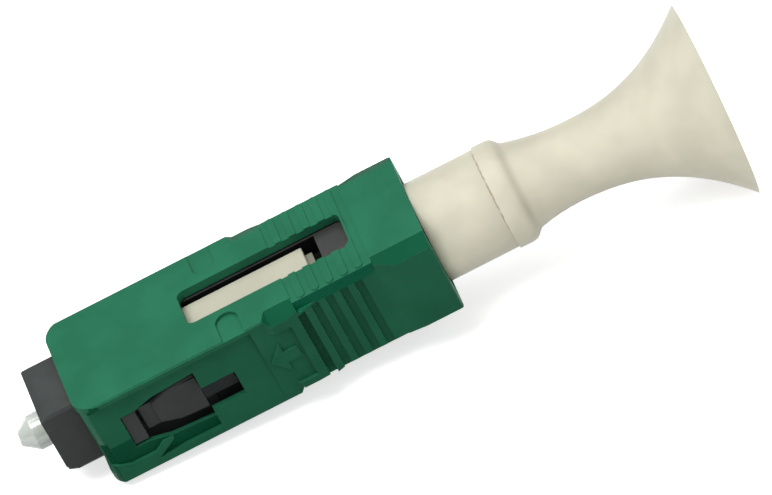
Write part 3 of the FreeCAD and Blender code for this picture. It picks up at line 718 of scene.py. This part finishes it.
def from_node(berth: Berth, flat_degrees: float = 0.0) -> Piece:
    """Copy a CAD node's mesh into a new piece, and merge its loose triangles.

    Args:
        berth: The piece's berth.
        flat_degrees: Faces that meet flatter than this become one; 0 leaves them all.

    Returns:
        The piece.
    """
    piece = bpy.data.objects.new(berth.name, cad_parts[berth.node].data.copy())
    bpy.context.scene.collection.objects.link(piece)
    edit_all(piece)
    bpy.ops.mesh.remove_doubles(threshold=WELD)
    if flat_degrees:
        bpy.ops.mesh.dissolve_limited(angle_limit=math.radians(flat_degrees))
    bpy.ops.object.mode_set(mode="OBJECT")
    return piece


def copied(berth: Berth, material: Material, smooth_degrees: float = 45.0) -> Piece:
    """Make a piece with a CAD node's own form, its edges not rounded.

    Args:
        berth: The piece's berth.
        material: The piece's finish.
        smooth_degrees: Edges sharper than this stay sharp.

    Returns:
        The piece.
    """
    piece = from_node(berth)
    dress(piece, material)
    settle(piece, smooth_degrees)
    berth.take(piece)
    return piece


@dataclass(frozen=True)
class Softening:
    """The small edge radii that moulding leaves on a piece, in millimetres and degrees."""

    radius: float
    sharp: float = 28.0
    flat: float = 0.4
    smooth: float = 32.0
    segments: int = 2
    face_weight: int = 100

    def round_edges(self, piece: Piece, edge_wear_and_highlight: Material | None) -> None:
        """Round every edge that is sharp enough.

        Args:
            piece: The piece, dressed in its plain finish.
            edge_wear_and_highlight: Paler finish of the rounded outer edges, wear with a painted
                highlight, if they have one of their own.
        """
        bevel = piece.modifiers.new("edge_radius", "BEVEL")
        # The bevel faces take the paler edge finish, wear with a painted highlight, kept to outer
        # edges.
        if edge_wear_and_highlight:
            piece.data.materials.append(edge_wear_and_highlight)
            bevel.material = 1
        bevel.width = self.radius * MM
        bevel.segments = self.segments
        bevel.limit_method = "ANGLE"
        bevel.angle_limit = math.radians(self.sharp)
        bevel.harden_normals = False
        bpy.ops.object.modifier_apply(modifier=bevel.name)
        if edge_wear_and_highlight:
            keep_wear_and_highlight_on_ridges(piece)

    def even_normals(self, piece: Piece) -> None:
        """Keep the large faces flat-looking beside their rounded edges.

        Args:
            piece: The piece.
        """
        make_active(piece)
        weighted = piece.modifiers.new("face_normals", "WEIGHTED_NORMAL")
        weighted.mode = "FACE_AREA"
        weighted.weight = self.face_weight
        weighted.keep_sharp = True
        bpy.ops.object.modifier_apply(modifier=weighted.name)

    def build(self, berth: Berth, material: Material, edge_wear_and_highlight: Material | None = None,
              trim: Callable[[Piece], None] | None = None) -> Piece:
        """Make a softened piece from a CAD node.

        Args:
            berth: The piece's berth.
            material: The piece's finish.
            edge_wear_and_highlight: Paler finish of the rounded outer edges, wear with a painted
                highlight, if they have one of their own.
            trim: Reworks the sharp piece before its edges are rounded.

        Returns:
            The piece.
        """
        piece = from_node(berth, self.flat)
        if trim:
            trim(piece)
        dress(piece, material)
        self.round_edges(piece, edge_wear_and_highlight)
        settle(piece, self.smooth)
        self.even_normals(piece)
        berth.take(piece)
        return piece


def turned(name: str, profile: Sequence[Pair], sides: int = 96) -> Piece:
    """Model a turned tube along X: a ring, extruded and scaled station by station.

    Args:
        name: The piece's name.
        profile: Station and radius of each ring, in millimetres, round the wall's section.
        sides: Faces round the ring.

    Returns:
        The piece.
    """
    deselect_all()
    station, radius = profile[0]
    bpy.ops.mesh.primitive_circle_add(
        vertices=sides, radius=radius * MM, fill_type="NOTHING",
        location=(station * MM, 0, 0), rotation=(0, math.radians(90), 0))
    piece = bpy.context.object
    piece.name = name
    bpy.ops.object.transform_apply(location=True, rotation=True, scale=True)
    bpy.ops.object.mode_set(mode="EDIT")
    bpy.ops.mesh.select_all(action="SELECT")
    for next_station, next_radius in profile[1:]:
        bpy.ops.mesh.extrude_region_move(
            TRANSFORM_OT_translate={"value": ((next_station - station) * MM, 0, 0)})
        growth = next_radius / radius
        bpy.ops.transform.resize(value=(1, growth, growth),
                                 center_override=(next_station * MM, 0, 0))
        station, radius = next_station, next_radius
    select_open_rims(piece)
    bpy.ops.mesh.bridge_edge_loops()
    bpy.ops.mesh.select_all(action="SELECT")
    bpy.ops.mesh.normals_make_consistent(inside=False)
    bpy.ops.object.mode_set(mode="OBJECT")
    return piece


def select_open_rims(piece: Piece) -> None:
    """Select the edges that have one face only, in edit mode.

    Args:
        piece: The piece that is being edited.
    """
    bpy.ops.mesh.select_mode(type="EDGE")
    bpy.ops.mesh.select_all(action="DESELECT")
    shape = bmesh.from_edit_mesh(piece.data)
    for edge in shape.edges:
        if len(edge.link_faces) == 1:
            edge.select_set(True)
    shape.select_flush_mode()
    bmesh.update_edit_mesh(piece.data)


# ---------------------------------------------------------------- sub-assemblies
@dataclass
class Grip:
    """The green sliding grip."""

    berth: Berth = Berth("outer_grip", "grip_shell", Body.GRIP, Slot.GRIP)
    softening: Softening = Softening(0.09)
    slack: float = 0.01
    skin: float = 0.03
    weld: float = 0.002
    side_half: float = 4.5
    half_height: float = 3.7
    rail_end: float = 15.9
    rail_floor: float = 2.98
    channel_half: float = 4.2
    flare_top: float = 3.05
    ramp_span: Pair = (2.4, 10.3)
    ramp_top: float = -0.4
    ramp_out: Pair = (3.8, 4.19)
    notch: float = 15.75
    flare_start: float = 16.1
    flare_out: float = 3.6
    slope_inner: float = 3.65
    slope_outer: float = 4.75
    slope_outer_high: float = 3.1
    slope_outer_low: float = 2.92
    slope_reach: Pair = (3.4, 3.65)
    waist_half: float = 4.08
    band_span: Pair = (18.0, 23.8)
    band_low: float = 2.74
    band_out: float = 4.6
    foot_start: float = 14.7
    foot_top: float = 3.38
    foot_out: float = 4.3
    dimple_x: float = 13.7
    dimple_half: float = 0.85
    dimple_inner: float = 2.1
    dimple_floor: float = 3.45
    dimple_rise: float = 0.13

    def is_painted_shade(self, centre: Vector, normal: Vector) -> bool:
        """Say whether a face gets the painted shade: rail strip under the top edge, flare slope or
        ramp recess.

        Args:
            centre: The face's centre, in millimetres.
            normal: The face's normal.

        Returns:
            Whether it gets the painted shade.
        """
        out = abs(centre.y)
        rail = (centre.x < self.rail_end and centre.z > self.rail_floor
                and abs(normal.y) > 0.9 and out > self.channel_half - self.skin)
        slope = (centre.x > self.rail_end and centre.z > self.flare_top
                 and abs(normal.y) > 0.2 and normal.z > 0.15 and out > self.flare_out)
        ramp = (self.ramp_span[0] < centre.x < self.ramp_span[1] and centre.z < self.ramp_top
                and self.ramp_out[0] < out < self.ramp_out[1] and abs(normal.y) > 0.5)
        return rail or slope or ramp

    def is_shaded_band(self, centre: Vector, _normal: Vector) -> bool:
        """Say whether a face belongs to the band of painted shade under the top edge, between the
        treads and the ribs.
        """
        return (self.band_span[0] < centre.x < self.band_span[1] and centre.z > self.band_low
                and self.waist_half - self.skin < abs(centre.y) < self.band_out)

    def is_waist_wall(self, centre: Vector, normal: Vector) -> bool:
        """Say whether a face is a wall of the waist."""
        return abs(normal.y) > 0.99 and abs(abs(centre.y) - self.waist_half) < self.slack

    def is_channel_wall(self, centre: Vector, normal: Vector) -> bool:
        """Say whether a face is a wall of the side channels."""
        return abs(normal.y) > 0.99 and abs(abs(centre.y) - self.channel_half) < self.slack

    def slope_dimples(self, shell: Piece) -> None:
        """Raise the floors of the thumb dimples towards the grip's sides.

        Args:
            shell: The sharp grip.
        """
        for vertex in shell.data.vertices:
            x, y, z = vertex.co / MM
            if (abs(x - self.dimple_x) < self.dimple_half
                    and abs(z - self.dimple_floor) < self.slack):
                share = (abs(y) - self.dimple_inner) / (self.side_half - self.dimple_inner)
                vertex.co.z += self.dimple_rise * MM * share

    def chamfer_foot(self, shell: Piece) -> None:
        """Chamfer the lower edge of the grip just in front of its notch.

        Args:
            shell: The sharp grip.
        """
        for vertex in shell.data.vertices:
            x, y, z = vertex.co / MM
            beside = self.foot_start - self.slack < x < self.notch + self.slack
            if beside and z < -self.slope_reach[0] and abs(y) > self.foot_out:
                low = z < -self.slope_reach[1]
                vertex.co.y = math.copysign(self.channel_half if low else self.side_half, y) * MM
                vertex.co.z = -(self.half_height if low else self.foot_top) * MM

    def run_out_flare(self, shell: Piece) -> None:
        """Run the flare's slopes out over the notch.

        Args:
            shell: The sharp grip.
        """
        inner, outer = self.slope_reach
        for vertex in shell.data.vertices:
            x, y, z = vertex.co / MM
            if (abs(x - self.flare_start) > self.slack or abs(z) < inner
                    or abs(y) < self.channel_half):
                continue
            if abs(z) > outer:
                y = math.copysign(self.slope_inner, y)
            else:
                edge = self.slope_outer_high if z > 0 else self.slope_outer_low
                y, z = math.copysign(self.slope_outer, y), math.copysign(edge, z)
            vertex.co = Vector((x, y, z)) * MM

    def trim(self, shell: Piece) -> None:
        """Work the small slopes into the grip, and part its walls where the finish changes.

        Args:
            shell: The grip with its edges still sharp.
        """
        split_faces(shell, lambda centre, normal: True, (self.notch, 0, 0), (1, 0, 0))
        self.slope_dimples(shell)
        self.chamfer_foot(shell)
        self.run_out_flare(shell)
        edit_all(shell)
        bpy.ops.mesh.remove_doubles(threshold=self.weld * MM)
        bpy.ops.object.mode_set(mode="OBJECT")
        split_faces(shell, self.is_waist_wall, (0, 0, self.band_low), (0, 0, 1))
        split_faces(shell, self.is_channel_wall, (0, 0, self.rail_floor), (0, 0, 1))

    def build(self, materials: Materials) -> list[Piece]:
        """Build the grip.

        Args:
            materials: The material of each finish.

        Returns:
            The new pieces.
        """
        shell = self.softening.build(self.berth, materials[GRIP_GREEN],
                                     edge_wear_and_highlight=materials[GRIP_EDGE_WEAR_AND_HIGHLIGHT], trim=self.trim)
        refinish(shell, materials[GRIP_PAINTED_SHADE], self.is_painted_shade)
        refinish(shell, materials[GRIP_SHADED_BAND], self.is_shaded_band)
        return [shell]


@dataclass
class Plug:
    """The black frame and the grey backbone inside the grip."""

    frame_berth: Berth = Berth("plug_frame", "nose_frame", Body.PLUG, Slot.FRAME)
    backbone_berth: Berth = Berth("backbone", "inner_backbone", Body.PLUG, Slot.BACKBONE)
    frame_softening: Softening = Softening(0.09)
    backbone_softening: Softening = Softening(0.06)
    stem_start: float = 10.2
    stem_inner: float = 2.9
    slot_end: float = 21.2
    slot_half: float = 1.9

    def is_stem(self, centre: Vector, _normal: Vector) -> bool:
        """Say whether a face is on one of the frame's sunken stems."""
        return centre.x > self.stem_start and abs(centre.y) > self.stem_inner

    def in_slot(self, centre: Vector, normal: Vector) -> bool:
        """Say whether a face is a wall of the cap's slot."""
        return (centre.x < self.slot_end and abs(centre.y) < self.slot_half
                and centre.z > 0 and abs(normal.z) < 0.5)

    def build(self, materials: Materials) -> list[Piece]:
        """Build the frame and the backbone.

        Args:
            materials: The material of each finish.

        Returns:
            The new pieces.
        """
        nose = self.frame_softening.build(self.frame_berth, materials[FRAME_BLACK])
        spine = self.backbone_softening.build(self.backbone_berth, materials[BACKBONE_GREY])
        refinish(nose, materials[FRAME_SHADE], self.is_stem)
        refinish(spine, materials[BACKBONE_SHADE], self.in_slot)
        return [nose, spine]


@dataclass
class FerruleGroup:
    """Ferrule, collar, stub, splice, cap and spring."""

    tip_berth: Berth = Berth("ferrule", "ferrule_tip", Body.FERRULE_GROUP, Slot.ZIRCONIA)
    collar_berth: Berth = Berth("ferrule_flange", "ferrule_collar", Body.FERRULE_GROUP, Slot.FRAME)
    cap_berth: Berth = Berth("actuation_cap", "press_cap", Body.CAP, Slot.BOOT)
    spring_berth: Berth = Berth("coil_spring", "ferrule_spring", Body.PLUG, Slot.SPRING)
    tip_softening: Softening = Softening(0.03, sharp=20.0)
    collar_softening: Softening = Softening(0.05)
    cap_softening: Softening = Softening(0.06)
    slack: float = 0.01
    neck_rear: float = 8.6
    neck_end: float = 1.44
    cap_end: float = 19.93
    spring_span: Pair = (21.62, 25.6)
    travel: float = 0.5

    def taper_neck(self, collar: Piece) -> None:
        """Narrow the collar's rear end, which has to clear the backbone at full travel.

        Args:
            collar: The collar with its edges still sharp.
        """
        for vertex in collar.data.vertices:
            reach = math.hypot(vertex.co.y, vertex.co.z) / MM
            if abs(vertex.co.x / MM - self.neck_rear) < self.slack and reach > self.neck_end:
                vertex.co.y *= self.neck_end / reach
                vertex.co.z *= self.neck_end / reach

    def is_cap_step(self, centre: Vector, _normal: Vector) -> bool:
        """Say whether a face is on the low step behind the cap."""
        return centre.x > self.cap_end

    def build(self, materials: Materials) -> list[Piece]:
        """Build the ferrule, collar, cap and spring, and dress the hidden solids.

        Args:
            materials: The material of each finish.

        Returns:
            The new pieces.
        """
        for node, finish in (("stub_fibre", STUB_GLASS), ("splice_body", BACKBONE_SHADE),
                             ("splice_element", ELEMENT_METAL)):
            dress(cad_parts[node], materials[finish])
        tip = self.tip_softening.build(self.tip_berth, materials[FERRULE_WHITE])
        collar = self.collar_softening.build(self.collar_berth, materials[FRAME_BLACK],
                                             trim=self.taper_neck)
        cap = self.cap_softening.build(self.cap_berth, materials[CAP_SHADED_CREAM])
        refinish(cap, materials[CAP_SHADE], self.is_cap_step)
        spring = copied(self.spring_berth, materials[SPRING_METAL])
        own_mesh(spring)
        return [tip, collar, cap, spring]


@dataclass
class Boot:
    """The cream sleeve, its collar and the bell mouth."""

    sleeve_berth: Berth = Berth("boot_sleeve", "sleeve_tube", Body.PLUG, Slot.BOOT)
    bell_berth: Berth = Berth("bell_boot", "bell_mouth", Body.PLUG, Slot.BOOT)
    smooth: float = 40.0
    ease: float = 0.03
    ease_bulge: float = 0.3
    sleeve_radius: float = 3.49
    sleeve_bore: float = 2.75
    sleeve_front: float = 27.59
    sleeve_rear: float = 32.515
    sleeve_rings: Pair = (1.5, -1.2)
    collar_front: float = 32.52
    collar_rear: float = 33.93
    collar_radius: float = 3.62
    collar_round: tuple[Pair, ...] = ((-0.45, 0.0), (-0.15, 0.06), (0.06, 0.2), (0.22, 0.38))
    collar_foot: Pair = (0.42, 0.06)
    root_x: float = 34.53
    root_radius: float = 3.0
    root_steps: int = 5
    neck_x: float = 37.97
    neck_radius: float = 2.58
    neck_bore: float = 1.70
    rim_x: float = 48.03
    rim_radius: float = 6.67
    rim_wall: float = 0.30
    rim_set_back: float = 0.02
    flare: float = 2.35
    flare_steps: int = 20
    spigot_length: float = 0.85
    spigot_radius: float = 2.7
    bell_sides: int = 128
    droop: Pair = (-0.52, -0.52)
    droop_start: float = 34.0
    droop_curve: float = 1.3
    rim_lean: Pair = (-0.029, 0.067)

    def eased_front(self, station: float, radius: float) -> list[Pair]:
        """Return the rings of an eased front edge."""
        bulge = self.ease_bulge * self.ease
        return [(station, radius - self.ease), (station + bulge, radius - bulge),
                (station + self.ease, radius)]

    def sleeve(self) -> Piece:
        """Model the sleeve with eased ends.

        Returns:
            The piece.
        """
        front, rear, outer = self.sleeve_front, self.sleeve_rear, self.sleeve_radius
        bulge = self.ease_bulge * self.ease
        piece = turned(self.sleeve_berth.name, [
            (front, self.sleeve_bore), *self.eased_front(front, outer),
            (front + self.sleeve_rings[0], outer), (rear + self.sleeve_rings[1], outer),
            (rear - self.ease, outer), (rear - bulge, outer - bulge), (rear, outer - self.ease),
            (rear, self.sleeve_bore)])
        settle(piece, self.smooth)
        return piece

    def outer_wall(self) -> list[Pair]:
        """Return the bell's outer profile from collar to rim.

        Returns:
            Station and radius of each ring.
        """
        points = self.eased_front(self.collar_front, self.collar_radius)
        points += [(self.collar_rear + along, self.collar_radius - inward)
                   for along, inward in self.collar_round]
        points.append((self.collar_rear + self.collar_foot[0],
                       self.root_radius + self.collar_foot[1]))
        for step in range(self.root_steps):
            share = step / self.root_steps
            points.append((self.root_x + (self.neck_x - self.root_x) * share,
                           self.neck_radius
                           + (self.root_radius - self.neck_radius) * (1 - share) ** 2))
        for step in range(self.flare_steps + 1):
            share = step / self.flare_steps
            points.append((self.neck_x + (self.rim_x - self.neck_x) * share,
                           self.neck_radius
                           + (self.rim_radius - self.neck_radius) * share ** self.flare))
        return points

    def inner_wall(self) -> list[Pair]:
        """Return the bell's inner profile from rim to spigot.

        Returns:
            Station and radius of each ring.
        """
        points = []
        for step in range(self.flare_steps, -1, -1):
            share = step / self.flare_steps
            points.append((self.neck_x + (self.rim_x - self.neck_x) * share - self.rim_set_back,
                           self.neck_bore + (self.rim_radius - self.rim_wall - self.neck_bore)
                           * share ** self.flare))
        spigot = self.collar_front - self.spigot_length
        return points + [(spigot, self.neck_bore), (spigot, self.spigot_radius),
                         (self.collar_front, self.spigot_radius)]

    def bell(self) -> Piece:
        """Model the bell with its collar and its slight droop.

        Returns:
            The piece.
        """
        piece = turned(self.bell_berth.name, self.outer_wall() + self.inner_wall(),
                       sides=self.bell_sides)
        reach = self.rim_x - self.droop_start
        for vertex in piece.data.vertices:
            share = max(0.0, (vertex.co.x / MM - self.droop_start) / reach) ** self.droop_curve
            vertex.co.x += share * (self.rim_lean[0] * vertex.co.y
                                    + self.rim_lean[1] * vertex.co.z)
            vertex.co.y += self.droop[0] * MM * share
            vertex.co.z += self.droop[1] * MM * share
        settle(piece, self.smooth)
        return piece

    def build(self, materials: Materials) -> list[Piece]:
        """Build the boot's pieces.

        Args:
            materials: The material of each finish.

        Returns:
            The new pieces.
        """
        sleeve, bell = self.sleeve(), self.bell()
        for piece, berth in ((sleeve, self.sleeve_berth), (bell, self.bell_berth)):
            dress(piece, materials[BOOT_CREAM])
            berth.take(piece)
        return [sleeve, bell]


# ---------------------------------------------------------------- studio
@dataclass(frozen=True)
class Lamp:
    """A soft square lamp: its name, its place and side in metres, and its power in watts."""

    name: str
    place: Triple
    size: float
    watts: float

    def build(self, aim: Triple, subjects: Sequence[Piece] = ()) -> None:
        """Add the lamp.

        Args:
            aim: The point that it faces, in metres.
            subjects: The only pieces that it lights, if it doesn't light all.
        """
        light = bpy.data.lights.new(self.name, "AREA")
        light.size = self.size
        light.energy = self.watts
        holder = bpy.data.objects.new(self.name, light)
        bpy.context.scene.collection.objects.link(holder)
        holder.location = self.place
        line = Vector(aim) - Vector(self.place)
        holder.rotation_euler = line.to_track_quat("-Z", "Y").to_euler()
        if subjects:
            lit = bpy.data.collections.new(self.name + "_subjects")
            for piece in subjects:
                lit.objects.link(piece)
            holder.light_linking.receiver_collection = lit


@dataclass
class Studio:
    """Floor, world, lights and camera."""

    floor_size: float = 3.0
    rest_front: Pair = (4.5, -4.45)
    rest_rear: Pair = (47.6, -7.2)
    floor_colour: Triple = (0.93, 0.93, 0.93)
    floor_bounce: Triple = (0.30, 0.30, 0.30)
    floor_roughness: float = 0.9
    floor_gloss: float = 0.1
    floor_glow: float = 0.66
    world_light: float = 0.32
    world_seen: float = 1.0
    aim: Triple = (0.025, 0.0, 0.0)
    lamps: tuple[Lamp, ...] = (
        Lamp("key_softbox", (-0.20, -0.10, 0.80), 0.45, 4.2),
        Lamp("fill_softbox", (0.62, -0.45, 0.45), 0.5, 0.6),
        Lamp("top_softbox", (0.15, 0.40, 0.70), 0.45, 2.0))
    boot_lamp: Lamp = Lamp("boot_softbox", (-0.15, -0.58, 0.0), 0.4, 3.5)
    camera_place: Triple = (63.3, -616.8, 562.1)
    camera_right: Triple = (0.89045, -0.27473, -0.36279)
    camera_up: Triple = (0.45273, 0.61561, 0.64503)
    camera_clip: Pair = (0.05, 20.0)
    lens: float = 603.83
    sensor: float = 36.0

    def add_floor(self) -> None:
        """Lay the pale floor under the bell's rim and the grip's key."""
        deselect_all()
        x, z = self.rest_rear
        slope = math.atan2(self.rest_front[1] - z, x - self.rest_front[0])
        bpy.ops.mesh.primitive_plane_add(
            size=self.floor_size, location=(x * MM, 0, z * MM),
            rotation=(0, slope, 0))
        floor = bpy.context.object
        floor.name = "studio_floor"
        dress(floor, self.floor_paper())

    def floor_paper(self) -> Material:
        """Build the floor's material, which the camera sees white and which keeps its shadow.

        Returns:
            The material.
        """
        material = bpy.data.materials.new("floor_paper")
        material.use_nodes = True
        weave = Weave(material.node_tree)
        shader = material.node_tree.nodes["Principled BSDF"]
        shader.inputs["Roughness"].default_value = self.floor_roughness
        shader.inputs["Specular IOR Level"].default_value = self.floor_gloss
        path = weave.add(NodeKind.LIGHT_PATH)
        weave.feed(shader.inputs["Base Color"],
                   weave.mix(path.outputs["Is Diffuse Ray"], (*self.floor_colour, 1.0),
                             (*self.floor_bounce, 1.0)))
        seen = weave.maths(Maths.LARGER, path.outputs["Is Camera Ray"],
                           weave.maths(Maths.LARGER, path.outputs["Is Glossy Ray"],
                                       path.outputs["Is Transmission Ray"]))
        shader.inputs["Emission Color"].default_value = WHITE
        weave.feed(shader.inputs["Emission Strength"],
                   weave.maths(Maths.MULTIPLY, seen, self.floor_glow))
        return material

    def add_world(self) -> None:
        """Light all round softly, and show white behind."""
        world = bpy.data.worlds.new("studio_world")
        world.use_nodes = True
        bpy.context.scene.world = world
        weave = Weave(world.node_tree)
        backdrop = world.node_tree.nodes["Background"]
        backdrop.inputs["Color"].default_value = WHITE
        path = weave.add(NodeKind.LIGHT_PATH)
        weave.feed(backdrop.inputs["Strength"],
                   weave.span(path.outputs["Is Camera Ray"], 0.0, 1.0, self.world_light,
                              self.world_seen))

    def add_camera(self) -> None:
        """Set the camera's place, turn and lens."""
        camera = bpy.data.cameras.new("main_camera")
        camera.lens = self.lens
        camera.sensor_width = self.sensor
        camera.clip_start, camera.clip_end = self.camera_clip
        holder = bpy.data.objects.new("main_camera", camera)
        bpy.context.scene.collection.objects.link(holder)
        right, up = Vector(self.camera_right), Vector(self.camera_up)
        turn = Matrix((right, up, right.cross(up))).transposed().to_4x4()
        holder.matrix_world = Matrix.Translation(Vector(self.camera_place) * MM) @ turn
        bpy.context.scene.camera = holder

    def build(self) -> None:
        """Build the floor, the world, the general lamps and the camera."""
        self.add_floor()
        self.add_world()
        for lamp in self.lamps:
            lamp.build(self.aim)
        self.add_camera()
        bpy.context.scene.view_settings.view_transform = "Standard"

    def glow_through(self, boot: Sequence[Piece]) -> None:
        """Light the thin pale boot from low down, as light through its walls does."""
        self.boot_lamp.build(self.aim, subjects=boot)


def main() -> None:
    """Build the studio and every sub-assembly, and log each piece."""
    effects = Effects()
    materials = {finish: finish.build(effects) for finish in FINISHES}
    studio = Studio()
    studio.build()
    pieces = [piece for assembly in (Grip(), Plug(), FerruleGroup())
              for piece in assembly.build(materials)]
    boot = Boot().build(materials)
    studio.glow_through(boot)
    pieces += boot
    for piece in pieces:
        LOG.info("%s: %d faces", piece.name, len(piece.data.polygons))
    deselect_all()


if __name__ == "__main__":
    main()
